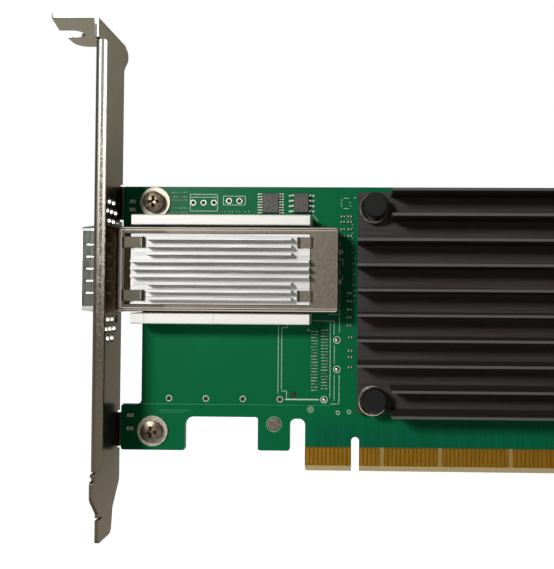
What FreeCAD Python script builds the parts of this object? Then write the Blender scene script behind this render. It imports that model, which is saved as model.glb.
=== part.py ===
"""Network interface card with one pluggable port, a folded full-height bracket and a finned heat sink.

Frame: the origin is the middle of the key notch, on the mating edge and at the board's mid-plane.
+X runs along the card away from its bracket, +Z up the card, and the component side faces -Y.
All sizes are in millimetres.
"""
import FreeCAD, Part
import math
import os

# Board: outline, mating edge and cut-outs. Places along X are distances from the key notch.
board_length = 142.25
board_height = 68.90
board_thickness = 1.57
notch_to_bracket_edge = 57.15
board_corner_radius = 0.6
key_notch_width = 1.90
key_notch_depth = 8.25
key_notch_flat = 0.04
tongue_short_reach = 12.15
tongue_long_reach = 72.15
tongue_bevel_height = 1.30
tongue_bevel_depth = 0.47
heel_height = 8.25
relief_slot_width = 3.70
relief_slot_top = 12.50
relief_slot_radius = 1.48
foot_width = 7.80
foot_bottom = 4.75
window_width = 17.80
window_top = 12.80
window_corner_radius = 2.2
screw_foot_bottom = 4.60
recess_depth = 4.95
recess_bottom = 15.66
recess_corner_radius = 1.2
recess_above_cage = 1.00
cut_corner_radius = 0.6

# Edge contacts, plated on both faces of the tongue.
contact_pitch = 1.00
contact_width = 0.70
contact_top = 5.60
contact_thickness = 0.05
contact_edge_gap = 0.20
open_positions = (6, 20, 37)

# Screws that join the board to its bracket.
screw_from_edge = 7.85
upper_screw_z = 65.00
lower_screw_z = 9.28
screw_radius = 1.50
screw_hole_gap = 0.20
thread_gap = 0.05
screw_head_radius = 2.55
screw_head_height = 1.90
screw_head_edge = 1.50
screw_tip_reach = 0.80
driver_cross_width = 0.80
driver_cross_span = 2.90
driver_cross_depth = 1.10
washer_radius = 3.70
washer_thickness = 0.50
washer_bore_gap = 0.15

# Bracket: one folded sheet.
sheet = 0.86
bend_radius = 0.50
bracket_to_board = 1.04
bracket_width = 18.42
bracket_height = 120.02
bracket_bottom = -14.45
ear_overhang = 3.17
ear_below_top = 3.97
ear_slope_height = 3.20
ear_radius = 1.80
hanger_length = 11.43
hanger_overhang = 1.30
hanger_near_cut = 1.50
hanger_corner_radius = 3.20
hanger_slot_width = 4.42
hanger_slot_depth = 5.20
hanger_slot_from_near = 10.50
lip_width = 2.95
lip_bottom_z = 2.60
lip_below_top = 5.77
lip_corner_radius = 1.0
lip_relief_depth = 2.40
relief_height = 0.55
tooth_height = 0.70
tooth_setback = 0.50
lower_notch_height = 0.90
lower_notch_depth = 1.30
shoulder_near_z = -3.60
shoulder_far_z = -3.10
stem_top_near_z = -7.60
stem_top_far_z = -8.60
stem_inset_near = 3.90
stem_inset_far = 4.70
stem_taper = 1.10
stem_tip_radius = 1.6
stem_tip_near_radius = 0.8
stem_notch_depth = 2.30
stem_notch_height = 0.55
bracket_foot_height = 8.20
bracket_foot_reach = 4.40
bracket_foot_relief_depth = 1.70
vent_radius = 1.08
vent_pitch = 2.90
vent_row_pitch = 2.25
vent_row_counts = (5, 4, 3)
vents_above_port = 11.50
vents_below_port = 11.85
vent_middle_height = 7.20

# Port cage.
port_z = 48.35
cage_width = 19.10
cage_height = 9.75
cage_wall = 0.30
cage_corner_radius = 0.50
cage_overhang = 4.75
cage_length = 59.60
cage_top_opening_front = 10.20
cage_top_opening_from_back = 6.20
cage_top_opening_width = 16.60
cage_pin_width = 0.70
cage_pin_reach = 1.00
cage_pin_hole_radius = 0.52
cage_pin_pitch = 9.04
cage_first_pin_from_edge = 11.72
cage_last_pin_from_back = 3.38
cage_even_pin_columns = 4
cage_lug_spacing = 7.30
cage_lugs_above_middle = 1.00
cage_lug_width = 1.20
cage_lug_length = 0.70
cage_lug_height = 1.20
cage_lug_above_board = 1.20
second_port_pin_row_z = 17.20

# Spring gasket round the cage's mouth.
gasket_sheet = 0.20
gasket_back_from_bracket = 3.10
gasket_band_length = 0.40
gasket_flare = 0.75
gasket_flare_gap = 0.08
gasket_front_reach = 4.45
gasket_front_rim = 0.85
gasket_bow = 0.32
gasket_bow_place = 0.50
gasket_slit_stop = 1.20
finger_pitch = 2.80
finger_slit = 0.40
gasket_window_gap = 0.40

# Heat sink over the port, and the sprung clip that holds it.
clip_sheet = 0.30
clip_gap = 0.05
clip_from_bracket = 3.20
clip_skirt_height = 3.40
clip_corner_radius = 1.0
clip_fold_radius = 0.60
clip_tab_width = 2.50
clip_tab_offset = 6.15
clip_front_tab_length = 4.80
clip_back_tab_length = 3.10
clip_tab_ramp = 0.60
clip_tab_curl = 0.35
clip_tab_curl_length = 0.75
clip_groove_width = 0.30
clip_groove_depth = 0.12
clip_groove_from_side = 0.85
port_sink_front_gap = 2.15
port_sink_back_gap = 0.20
port_sink_side_gap = 0.15
port_sink_base_below = 0.15
port_sink_base_above = 0.30
port_sink_toe_length = 0.80
port_sink_toe_height = 0.30
port_fin_pitch = 1.715
port_fin_height = 2.65
port_fin_tip = 0.62
port_fin_root = 0.86
port_fins_each_side = 4
port_long_fins_each_side = 1
port_pocket_front = 3.65
port_pocket_back = 4.05

# Bars beside the cage.
rail_length = 41.45
rail_width = 2.50
rail_height = 10.00
rail_clip_gap = 0.30
rail_from_edge = 5.05
rail_chamfer = 0.20

# Connector inside the cage.
socket_from_cage_back = 2.30
socket_length = 9.50
socket_width = 17.00
socket_height = 7.20
socket_slot_height = 2.00
socket_slot_middle = 4.90
socket_side_wall = 0.70
socket_nose_length = 2.40
socket_nose_height = 6.40
socket_contact_setback = 1.20
socket_contact_pitch = 0.80
socket_contact_width = 0.30
socket_contact_sheet = 0.22
socket_contact_gap = 0.04
socket_contacts_in_row = 19
socket_tail_length = 0.90

# Controller package under the main heat sink.
package_size = 25.00
package_height = 1.30
die_size = 17.00
die_height = 0.70
pad_thickness = 0.10

# Main heat sink.
sink_from_cage = 4.62
sink_length = 70.00
sink_middle_z = 40.85
sink_width = 52.50
sink_base = 1.80
sink_fin_height = 9.60
sink_fin_count = 10
sink_fin_tip = 0.60
sink_fin_root = 1.10
sink_root_radius = 0.40
sink_pocket_length = 7.80
sink_pocket_fins = 2
sink_pocket_side_gap = 2.85

# Push pins and springs at the heat sink's corners.
pin_from_end = 4.08
pin_from_side = 3.65
pin_head_radius = 2.95
pin_head_height = 1.50
pin_head_round = 0.35
pin_collar_radius = 1.90
pin_stem_radius = 1.25
pin_collar_length = 2.00
pin_shoulder_length = 0.67
pin_barb_tip_radius = 0.62
pin_hole_gap = 0.20
spring_length = 4.00
spring_radius = 3.15
spring_shift = (-0.35, -0.45)
spring_wire = 0.46
spring_wire_sides = 6
spring_half_turns = 5
pin_barb_radius = 1.75
pin_barb_length = 2.20
pin_barb_gap = 0.10
pin_split = 0.50
pin_split_depth = 0.80

# Small packages above the port.
logic_x = -20.95
logic_z = 64.85
logic_body = (4.15, 4.85, 1.00)
logic_span = 6.40
logic_pitch = 0.65
logic_leads_per_side = 8
logic_lead_width = 0.25
flash_x = -13.40
flash_z = 64.85
flash_body = (3.75, 4.65, 1.45)
flash_span = 6.20
flash_pitch = 1.27
flash_leads_per_side = 4
flash_lead_width = 0.42
lead_sheet = 0.15
package_standoff = 0.10
package_draft = 0.12
lead_knee_share = 0.40

# Holes of the two empty headers.
header_hole_radius = 0.45
header_pitch = 2.54
long_header_place = (-39.98, 65.00)
long_header_pins = 3
short_header_place = (-31.18, 65.45)
short_header_pins = 2

# Chip parts: length, width and height, and where each group stands.
chip_length = 1.00
chip_width = 0.50
chip_height = 0.40
chip_column_from_cage = (0.90, 2.60)
chip_column_z = (61.70, 60.40, 58.60, 57.00)
chip_lower_from_cage = 2.60
chip_lower_z = (43.20, 41.20, 39.20, 37.30, 35.30)
chip_side_from_cage = 2.90
chip_side_z = (32.40, 29.10, 27.60, 25.20)
lamp_x = -54.80
lamp_length = 1.60
lamp_width = 0.90
lamp_height = 0.60
lamp_z = (65.20, 63.20, 13.10, 9.90)

# Values that follow from the sizes above.
front = -board_thickness / 2
back = board_thickness / 2
board_left = -notch_to_bracket_edge
board_right = board_left + board_length
slot_left = -tongue_short_reach - relief_slot_width
foot_left = slot_left - foot_width
window_left = foot_left - window_width
recess_x = board_left + recess_depth
recess_top = port_z + cage_width / 2 + recess_above_cage
screw_x = board_left + screw_from_edge
plate_inner_x = board_left - bracket_to_board
plate_outer_x = plate_inner_x - sheet
bend_outer = bend_radius + sheet
plate_far_y = back + sheet
plate_near_y = plate_far_y - bracket_width
bracket_top = bracket_bottom + bracket_height
ear_bottom_z = bracket_top - ear_below_top
lip_top_z = bracket_top - lip_below_top
cage_front_x = plate_outer_x - cage_overhang
cage_back_x = cage_front_x + cage_length
cage_top_y = front - cage_height
opening_front_x = cage_front_x + cage_top_opening_front
opening_back_x = cage_back_x - cage_top_opening_from_back
clip_half_width = cage_width / 2 + clip_gap + clip_sheet
rail_inner = clip_half_width + rail_clip_gap
socket_back_x = cage_back_x - socket_from_cage_back
socket_front_x = socket_back_x - socket_length
package_top = package_height + die_height + pad_thickness
sink_base_top = package_top + sink_base
sink_left_x = cage_back_x + sink_from_cage
sink_middle_x = sink_left_x + sink_length / 2
sink_bottom_z = sink_middle_z - sink_width / 2
sink_fin_pitch = (sink_width - sink_fin_root) / (sink_fin_count - 1)
pin_hole_radius = pin_stem_radius + pin_hole_gap


def vec(x, y, z):
    """Short name for a vector."""
    return FreeCAD.Vector(x, y, z)


def rounded_wire(corners, place):
    """Closed wire through (a, b, radius) corners, each rounded by a tangent arc where radius is not 0."""
    count = len(corners)
    ends = []
    for i, (a, b, radius) in enumerate(corners):
        corner = vec(a, b, 0)
        before = vec(*corners[i - 1][:2], 0) - corner
        after = vec(*corners[(i + 1) % count][:2], 0) - corner
        before.normalize()
        after.normalize()
        half = before.getAngle(after) / 2
        if radius == 0:
            ends.append((corner, None, corner))
            continue
        reach = radius / math.tan(half)
        middle = before + after
        middle.normalize()
        tip = corner + middle * (radius / math.sin(half) - radius)
        ends.append((corner + before * reach, tip, corner + after * reach))
    edges = []
    for i, (start, tip, end) in enumerate(ends):
        if tip is not None:
            edges.append(Part.Arc(place(start), place(tip), place(end)).toShape())
        following = ends[(i + 1) % count][0]
        if (following - end).Length > 1e-6:
            edges.append(Part.LineSegment(place(end), place(following)).toShape())
    return Part.Wire(edges)


def slab_x(corners, x0, x1):
    """Solid between x0 and x1 from corners given as (y, z, radius)."""
    wire = rounded_wire(corners, lambda p: vec(x0, p.x, p.y))
    return Part.Face(wire).extrude(vec(x1 - x0, 0, 0))


def slab_y(corners, y0, y1):
    """Solid between y0 and y1 from corners given as (x, z, radius)."""
    wire = rounded_wire(corners, lambda p: vec(p.x, y0, p.y))
    return Part.Face(wire).extrude(vec(0, y1 - y0, 0))


def slab_z(corners, z0, z1):
    """Solid between z0 and z1 from corners given as (x, y, radius)."""
    wire = rounded_wire(corners, lambda p: vec(p.x, p.y, z0))
    return Part.Face(wire).extrude(vec(0, 0, z1 - z0))


def box(x0, x1, y0, y1, z0, z1):
    """Box between two corners, in any order."""
    low = vec(min(x0, x1), min(y0, y1), min(z0, z1))
    return Part.makeBox(abs(x1 - x0), abs(y1 - y0), abs(z1 - z0), low)


def block(x0, x1, z0, z1, low, high):
    """Box that stands on the component side, from height low to height high above the board."""
    return box(x0, x1, front - low, front - high, z0, z1)


def rectangle(a0, a1, b0, b1, radius=0):
    """Corner list of a rectangle with equal corner radii."""
    return [(a0, b0, radius), (a1, b0, radius), (a1, b1, radius), (a0, b1, radius)]


def fuse(shapes):
    """One clean solid from touching or crossing shapes."""
    return shapes[0].fuse(shapes[1:]).removeSplitter()


def pin_places():
    """Centres (x, z) of the four push pins."""
    return [(sink_middle_x + sx * (sink_length / 2 - pin_from_end),
             sink_middle_z + sz * (sink_width / 2 - pin_from_side))
            for sx in (-1, 1) for sz in (-1, 1)]


def cage_pin_columns():
    """X of the cage's press-fit pins: four at one pitch and a last one beside the connector."""
    first = board_left + cage_first_pin_from_edge
    even = [first + i * cage_pin_pitch for i in range(cage_even_pin_columns)]
    return even + [cage_back_x - cage_last_pin_from_back]


def cage_pin_rows():
    """Z of the two rows of cage pins, in line with the side walls."""
    offset = cage_width / 2 - cage_wall / 2
    return [port_z - offset, port_z + offset]


def contact_columns(skipped):
    """X of the edge contacts, from the key notch to both ends, less those skipped on the long side."""
    first = key_notch_width / 2 + contact_edge_gap + contact_width / 2
    short = int((tongue_short_reach - first - contact_width / 2) / contact_pitch) + 1
    long = int((tongue_long_reach - first - contact_width / 2) / contact_pitch) + 1
    kept = [i for i in range(long) if i + 1 not in skipped]
    return [-first - i * contact_pitch for i in range(short)] + [first + i * contact_pitch for i in kept]


def make_board():
    """Board with its tongue, key notch, relief slot, foot, window, screw foot and bracket recess."""
    r = cut_corner_radius
    half_notch = key_notch_width / 2
    notch_radius = half_notch - key_notch_flat / 2
    corners = [
        (board_left, board_height, board_corner_radius), (board_right, board_height, board_corner_radius),
        (board_right, heel_height, board_corner_radius), (tongue_long_reach, heel_height, r),
        (tongue_long_reach, 0, r), (half_notch, 0, 0),
        (half_notch, key_notch_depth, notch_radius), (-half_notch, key_notch_depth, notch_radius),
        (-half_notch, 0, 0), (-tongue_short_reach, 0, r),
        (-tongue_short_reach, relief_slot_top, relief_slot_radius),
        (slot_left, relief_slot_top, relief_slot_radius),
        (slot_left, foot_bottom, r), (foot_left, foot_bottom, r),
        (foot_left, window_top, r), (window_left, window_top, window_corner_radius),
        (window_left, screw_foot_bottom, board_corner_radius),
        (board_left, screw_foot_bottom, board_corner_radius),
        (board_left, recess_bottom, board_corner_radius), (recess_x, recess_bottom, recess_corner_radius),
        (recess_x, recess_top, recess_corner_radius), (board_left, recess_top, board_corner_radius),
    ]
    board = slab_y(corners, front, back)
    for side, face in ((-1, front), (1, back)):
        wedge = [(face, 0, 0), (face, tongue_bevel_height, 0), (face - side * tongue_bevel_depth, 0, 0)]
        board = board.cut(slab_x(wedge, -tongue_short_reach, tongue_long_reach))
    holes = [(screw_x, upper_screw_z, screw_radius + screw_hole_gap),
             (screw_x, lower_screw_z, screw_radius + screw_hole_gap)]
    holes += [(x, z, pin_hole_radius) for x, z in pin_places()]
    rows = cage_pin_rows() + [second_port_pin_row_z]
    holes += [(x, z, cage_pin_hole_radius) for x in cage_pin_columns() for z in rows]
    for (x, z), count in ((long_header_place, long_header_pins), (short_header_place, short_header_pins)):
        holes += [(x + i * header_pitch, z, header_hole_radius) for i in range(count)]
    return board.cut([Part.makeCylinder(r, board_thickness, vec(x, front, z), vec(0, 1, 0))
                      for x, z, r in holes])


def make_contacts(face, side, columns):
    """Plated contacts on one face of the tongue, above its bevel."""
    pads = [box(x - contact_width / 2, x + contact_width / 2, face, face + side * contact_thickness,
                tongue_bevel_height, contact_top) for x in columns]
    return Part.makeCompound(pads)


def flange(length, reach):
    """Bent flange: the sheet leaves along -u at v = 0, turns through a right angle and reaches v = reach."""
    start = (-bend_outer, 0, 0)
    section = [start, (0, 0, bend_outer), (0, reach, 0), (-sheet, reach, 0),
               (-sheet, sheet, bend_radius), (-bend_outer, sheet, 0)]
    return slab_z(section, 0, length)


def placed(shape, origin, u, v, w):
    """Shape moved so that its own axes lie along the unit vectors u, v and w from origin."""
    matrix = FreeCAD.Matrix(u.x, v.x, w.x, origin.x, u.y, v.y, w.y, origin.y,
                            u.z, v.z, w.z, origin.z, 0, 0, 0, 1)
    shape.Placement = FreeCAD.Placement(matrix)
    return shape


def bracket_outline():
    """Corners (y, z, radius) of the bracket's plate, from the top near corner round to the lip."""
    near = plate_near_y
    far = plate_far_y
    ear = plate_far_y + ear_overhang
    plate_top = bracket_top - bend_outer
    stem_far = far - stem_inset_far
    stem_near = near + stem_inset_near
    tooth_bottom = lip_bottom_z - relief_height - tooth_height
    notch_bottom = tooth_bottom - lower_notch_height
    return [
        (near, plate_top, 0), (ear, plate_top, ear_radius), (ear, ear_bottom_z, ear_radius),
        (far, ear_bottom_z - ear_slope_height, ear_radius),
        (far, shoulder_far_z, ear_radius), (stem_far, stem_top_far_z, ear_radius),
        (stem_far - stem_taper, bracket_bottom, stem_tip_radius),
        (stem_near, bracket_bottom, stem_tip_near_radius),
        (stem_near, stem_top_near_z, 0), (near, shoulder_near_z, ear_radius),
        (near, notch_bottom, cut_corner_radius), (near + lower_notch_depth, notch_bottom, 0),
        (near + lower_notch_depth, tooth_bottom, 0), (near + tooth_setback, tooth_bottom, 0),
        (near + tooth_setback, lip_bottom_z - relief_height, 0),
        (near + lip_relief_depth, lip_bottom_z - relief_height, 0),
        (near + lip_relief_depth, lip_bottom_z, 0),
        (near + bend_outer, lip_bottom_z, 0), (near + bend_outer, lip_top_z, 0),
        (near + lip_relief_depth, lip_top_z, 0), (near + lip_relief_depth, lip_top_z + relief_height, 0),
        (near, lip_top_z + relief_height, 0),
    ]


def vent_holes():
    """Staggered vent holes through the bracket, in rows that shorten away from the port."""
    middle_y = front - vent_middle_height
    starts = ((port_z + vents_above_port, 1), (port_z - vents_below_port, -1))
    holes = []
    for start, way in starts:
        for row, count in enumerate(vent_row_counts):
            for i in range(count):
                y = middle_y + (i - (count - 1) / 2) * vent_pitch
                z = start + way * row * vent_row_pitch
                holes.append(Part.makeCylinder(vent_radius, sheet, vec(plate_outer_x, y, z), vec(1, 0, 0)))
    return holes


def make_hanger():
    """Top flange that a chassis screw holds down, with its open slot and rounded corners."""
    bent = placed(flange(bracket_width + hanger_overhang, hanger_length + sheet),
                  vec(plate_inner_x, plate_far_y + hanger_overhang, bracket_top),
                  vec(0, 0, 1), vec(-1, 0, 0), vec(0, -1, 0))
    end_x = plate_outer_x - hanger_length
    far = plate_far_y + hanger_overhang
    slot_y = plate_near_y + hanger_slot_from_near
    outline = [(plate_inner_x, plate_near_y, 0), (end_x + hanger_near_cut, plate_near_y, cut_corner_radius),
               (end_x, slot_y - hanger_slot_width / 2, 0), (end_x, far, hanger_corner_radius),
               (plate_inner_x, far, 0)]
    round_x = end_x + hanger_slot_depth - hanger_slot_width / 2
    low = bracket_top - bend_outer
    slot = box(end_x - sheet, round_x, slot_y - hanger_slot_width / 2, slot_y + hanger_slot_width / 2,
               low, bracket_top)
    slot_end = Part.makeCylinder(hanger_slot_width / 2, bend_outer, vec(round_x, slot_y, low))
    return bent.common(slab_z(outline, low, bracket_top)).cut([slot, slot_end])


def make_lip():
    """Stiffening lip along the plate's near edge, with rounded free corners."""
    bent = placed(flange(lip_top_z - lip_bottom_z, lip_width), vec(plate_outer_x, plate_near_y, lip_bottom_z),
                  vec(0, -1, 0), vec(1, 0, 0), vec(0, 0, 1))
    edge_x = plate_outer_x + lip_width
    outline = [(plate_outer_x, lip_bottom_z, 0), (edge_x, lip_bottom_z, lip_corner_radius),
               (edge_x, lip_top_z, lip_corner_radius), (plate_outer_x, lip_top_z, 0)]
    return bent.common(slab_y(outline, plate_near_y, plate_near_y + bend_outer))


def make_bracket_foot(screw_z):
    """Foot folded behind the board, with the threaded hole of one screw."""
    end_x = screw_x + bracket_foot_reach
    low = screw_z - bracket_foot_height / 2
    high = screw_z + bracket_foot_height / 2
    bent = placed(flange(bracket_foot_height, end_x - plate_outer_x), vec(plate_outer_x, plate_far_y, high),
                  vec(0, 1, 0), vec(1, 0, 0), vec(0, 0, -1))
    outline = [(plate_outer_x, low, 0), (end_x, low, lip_corner_radius), (end_x, high, lip_corner_radius),
               (plate_outer_x, high, 0)]
    hole = Part.makeCylinder(screw_radius + thread_gap, sheet, vec(screw_x, back, screw_z), vec(0, 1, 0))
    return bent.common(slab_y(outline, plate_far_y - bend_outer, plate_far_y)).cut(hole)


def make_bracket():
    """Full-height bracket: plate with stem, ear, vents and port window, hanger, lip and two feet."""
    plate = slab_x(bracket_outline(), plate_outer_x, plate_inner_x)
    gap = gasket_sheet + gasket_window_gap
    half = cage_width / 2 + gap
    window = rectangle(cage_top_y - gap, front + gap, port_z - half, port_z + half, cage_corner_radius)
    notch_y = plate_near_y + stem_inset_near
    stem_notch = box(plate_outer_x, plate_inner_x, notch_y, notch_y + stem_notch_depth,
                     stem_top_far_z, stem_top_far_z - stem_notch_height)
    cuts = [slab_x(window, plate_outer_x, plate_inner_x), stem_notch] + vent_holes()
    for screw_z in (upper_screw_z, lower_screw_z):
        low = screw_z - bracket_foot_height / 2
        high = screw_z + bracket_foot_height / 2
        cuts.append(box(plate_outer_x, plate_inner_x, plate_far_y - bend_outer, plate_far_y, low, high))
        for z in (low - relief_height, high):
            cuts.append(box(plate_outer_x, plate_inner_x, plate_far_y - bracket_foot_relief_depth,
                            plate_far_y, z, z + relief_height))
    plate = plate.cut(cuts)
    return fuse([plate, make_hanger(), make_lip(), make_bracket_foot(upper_screw_z),
                 make_bracket_foot(lower_screw_z)])


def revolved(profile, x, z):
    """Solid of revolution about the line through (x, z) along Y, from (radius, height) points."""
    corners = [(r, front - h, 0) for r, h in profile]
    wire = rounded_wire(corners, lambda p: vec(x + p.x, p.y, z))
    return Part.Face(wire).revolve(vec(x, 0, z), vec(0, 1, 0), 360)


def make_screw(z):
    """Pan-head screw with a cross recess, down through washer, board and bracket foot."""
    seat = washer_thickness
    tip = -(board_thickness + sheet + screw_tip_reach)
    shank = Part.makeCylinder(screw_radius, seat - tip, vec(screw_x, front - seat, z), vec(0, 1, 0))
    head = Part.makeCylinder(screw_head_radius, screw_head_height, vec(screw_x, front - seat, z),
                             vec(0, -1, 0))
    crown = screw_head_height - screw_head_edge
    dome_radius = (screw_head_radius ** 2 + crown ** 2) / (2 * crown)
    dome = Part.makeSphere(dome_radius, vec(screw_x, front - seat - screw_head_height + dome_radius, z))
    head = head.common(dome)
    top = seat + screw_head_height
    half = driver_cross_span / 2
    arm = driver_cross_width / 2
    bars = [block(screw_x - half, screw_x + half, z - arm, z + arm, top - driver_cross_depth, top),
            block(screw_x - arm, screw_x + arm, z - half, z + half, top - driver_cross_depth, top)]
    taper = Part.makeCone(arm, half + arm, driver_cross_depth,
                          vec(screw_x, front - top + driver_cross_depth, z), vec(0, -1, 0))
    recess = bars[0].fuse(bars[1]).common(taper)
    return head.fuse(shank).cut(recess).removeSplitter()


def make_washer(z):
    """Flat washer under a screw head."""
    start = vec(screw_x, front, z)
    ring = Part.makeCylinder(washer_radius, washer_thickness, start, vec(0, -1, 0))
    return ring.cut(Part.makeCylinder(screw_radius + washer_bore_gap, washer_thickness, start, vec(0, -1, 0)))


def cage_ring(offset):
    """Corner list (y, z, radius) of the cage's outside, grown by offset."""
    half = cage_width / 2 + offset
    return rectangle(cage_top_y - offset, front + offset, port_z - half, port_z + half,
                     cage_corner_radius + offset)


def make_cage():
    """Folded cage: open mouth, opening for the heat sink, floor opening over the connector, pins and lugs."""
    shell = slab_x(cage_ring(0), cage_front_x, cage_back_x)
    hollow = slab_x(cage_ring(-cage_wall), cage_front_x, cage_back_x - cage_wall)
    half = cage_top_opening_width / 2
    top_opening = box(opening_front_x, opening_back_x, cage_top_y, cage_top_y + cage_wall,
                      port_z - half, port_z + half)
    floor_opening = box(socket_front_x - socket_tail_length - cage_wall, cage_back_x - cage_wall,
                        front - cage_wall, front, port_z - socket_width / 2 - cage_wall,
                        port_z + socket_width / 2 + cage_wall)
    shell = shell.cut([hollow, top_opening, floor_opening])
    pins = [box(x - cage_pin_width / 2, x + cage_pin_width / 2, front - cage_corner_radius,
                back + cage_pin_reach, z - cage_wall / 2, z + cage_wall / 2)
            for x in cage_pin_columns() for z in cage_pin_rows()]
    lug_z = port_z + cage_lugs_above_middle
    lugs = [block(cage_back_x - cage_wall, cage_back_x + cage_lug_length, z - cage_lug_width / 2,
                  z + cage_lug_width / 2, cage_lug_above_board, cage_lug_above_board + cage_lug_height)
            for z in (lug_z - cage_lug_spacing / 2, lug_z + cage_lug_spacing / 2)]
    return fuse([shell] + pins + lugs)


def sloped_ring(x0, offset0, x1, offset1):
    """Thin sprung ring round the cage whose inside goes from offset0 at x0 to offset1 at x1."""
    def at(x, offset):
        return rounded_wire(cage_ring(offset), lambda p: vec(x, p.x, p.y))
    outer = Part.makeLoft([at(x0, offset0 + gasket_sheet), at(x1, offset1 + gasket_sheet)], True, True)
    inner = Part.makeLoft([at(x0, offset0), at(x1, offset1)], True, True)
    return outer.cut(inner)


def finger_slits(x0, x1):
    """Thin boxes that part a sprung ring into fingers on all four sides."""
    reach = gasket_sheet * 2 + gasket_flare + gasket_bow
    half_width = cage_width / 2
    across = int((half_width - cage_corner_radius) / finger_pitch)
    up = int((cage_height / 2 - cage_corner_radius) / finger_pitch)
    middle_y = (front + cage_top_y) / 2
    slits = []
    for i in range(-across + 1, across):
        z = port_z + i * finger_pitch
        for y0, y1 in ((cage_top_y - reach, cage_top_y), (front, front + reach)):
            slits.append(box(x0, x1, y0, y1, z - finger_slit / 2, z + finger_slit / 2))
    for i in range(-up, up + 1):
        y = middle_y + i * finger_pitch
        for z0, z1 in ((port_z - half_width - reach, port_z - half_width),
                       (port_z + half_width, port_z + half_width + reach)):
            slits.append(box(x0, x1, y - finger_slit / 2, y + finger_slit / 2, z0, z1))
    return slits


def make_gasket():
    """Sprung ring round the mouth: a flared skirt behind the bracket and bowed fingers in front of it."""
    back_x = plate_inner_x + gasket_back_from_bracket
    root_x = back_x - gasket_band_length
    flare_x = plate_inner_x + gasket_flare_gap
    front_x = plate_outer_x - gasket_front_reach
    bow_x = plate_outer_x - gasket_front_reach * gasket_bow_place
    band = slab_x(cage_ring(gasket_sheet), plate_outer_x, back_x)
    band = band.cut(slab_x(cage_ring(0), plate_outer_x, back_x))
    skirt = sloped_ring(root_x, 0, flare_x, gasket_flare)
    skirt = skirt.cut(finger_slits(flare_x, root_x - gasket_slit_stop))
    bow = [sloped_ring(plate_outer_x, 0, bow_x, gasket_bow), sloped_ring(bow_x, gasket_bow, front_x, 0)]
    slits = finger_slits(front_x + gasket_front_rim, plate_outer_x - gasket_sheet)
    return fuse([band, skirt] + [part.cut(slits) for part in bow])


def make_clip_tab(x, way, length, side):
    """Spring tab of the clip: a ramp up, a flat tongue on the heat sink's base and a turned-up end."""
    low = front - cage_height
    flat = low - port_sink_base_above
    z0 = port_z + side * clip_tab_offset - clip_tab_width / 2
    ramp_start = x - way * clip_tab_ramp
    end = x + way * length
    curl_start = end - way * clip_tab_curl_length
    start = ramp_start - way * clip_sheet
    under = [(start, low), (ramp_start, low), (x, flat), (curl_start, flat), (end, flat - clip_tab_curl)]
    profile = [(a, b, 0) for a, b in under] + [(a, b - clip_sheet, 0) for a, b in reversed(under)]
    return slab_z(profile, z0, z0 + clip_tab_width)


def make_clip():
    """Sprung clip: a frame on the cage's top, skirts down both sides and four tabs over the heat sink."""
    x0 = plate_inner_x + clip_from_bracket
    top = cage_top_y - clip_sheet
    outer = rectangle(x0, cage_back_x, port_z - clip_half_width, port_z + clip_half_width)
    outer[1] = (outer[1][0], outer[1][1], clip_corner_radius)
    outer[2] = (outer[2][0], outer[2][1], clip_corner_radius)
    solid = slab_y(outer, top, cage_top_y + clip_skirt_height)
    section = [(top, port_z - clip_half_width, clip_fold_radius),
               (top, port_z + clip_half_width, clip_fold_radius),
               (cage_top_y + clip_skirt_height, port_z + clip_half_width, 0),
               (cage_top_y + clip_skirt_height, port_z - clip_half_width, 0)]
    solid = solid.common(slab_x(section, x0, cage_back_x))
    inner = cage_width / 2 + clip_gap
    hollow = box(x0, cage_back_x, cage_top_y, cage_top_y + clip_skirt_height, port_z - inner, port_z + inner)
    half = cage_top_opening_width / 2
    opening = box(opening_front_x, opening_back_x, top, cage_top_y, port_z - half, port_z + half)
    grooves = []
    for side in (-1, 1):
        z = port_z + side * (clip_half_width - clip_groove_from_side)
        grooves.append(box(x0, cage_back_x, top, top + clip_groove_depth,
                           z - clip_groove_width / 2, z + clip_groove_width / 2))
    frame = solid.cut([hollow, opening] + grooves)
    tabs = []
    for side in (-1, 1):
        tabs.append(make_clip_tab(opening_front_x, 1, clip_front_tab_length, side))
        tabs.append(make_clip_tab(opening_back_x, -1, clip_back_tab_length, side))
    return fuse([frame] + tabs)


def fin(z, root, tip, low, high, x0, x1):
    """Tapered fin along X, standing from height low to height high above the board."""
    corners = [(front - low, z - root / 2, 0), (front - low, z + root / 2, 0),
               (front - high, z + tip / 2, 0), (front - high, z - tip / 2, 0)]
    return slab_x(corners, x0, x1)


def make_port_sink():
    """Finned sink over the port: a thin toe, long fins in the middle, shorter ones beside the clip's tabs."""
    x0 = opening_front_x + port_sink_front_gap
    x1 = opening_back_x - port_sink_back_gap
    half = cage_top_opening_width / 2 - port_sink_side_gap
    low = cage_height - cage_wall - port_sink_base_below
    high = cage_height + port_sink_base_above
    z0 = port_z - half
    z1 = port_z + half
    pieces = [block(x0, x1, z0, z1, low, high),
              block(x0 - port_sink_toe_length, x0, z0, z1, low, low + port_sink_toe_height)]
    for i in range(-port_fins_each_side, port_fins_each_side + 1):
        short = abs(i) > port_long_fins_each_side
        start = x0 + port_pocket_front if short else x0
        end = x1 - port_pocket_back if short else x1
        pieces.append(fin(port_z + i * port_fin_pitch, port_fin_root, port_fin_tip, high,
                          high + port_fin_height, start, end))
    return fuse(pieces)


def make_rail(side):
    """Square bar that stands beside the cage, its top edges broken by a small chamfer."""
    x0 = board_left + rail_from_edge
    z0 = port_z + side * rail_inner
    z1 = z0 + side * rail_width
    low, high = min(z0, z1), max(z0, z1)
    top = front - rail_height
    c = rail_chamfer
    section = [(front, low, 0), (front, high, 0), (top + c, high, 0), (top, high - c, 0), (top, low + c, 0),
               (top + c, low, 0)]
    return slab_x(section, x0, x0 + rail_length)


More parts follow.
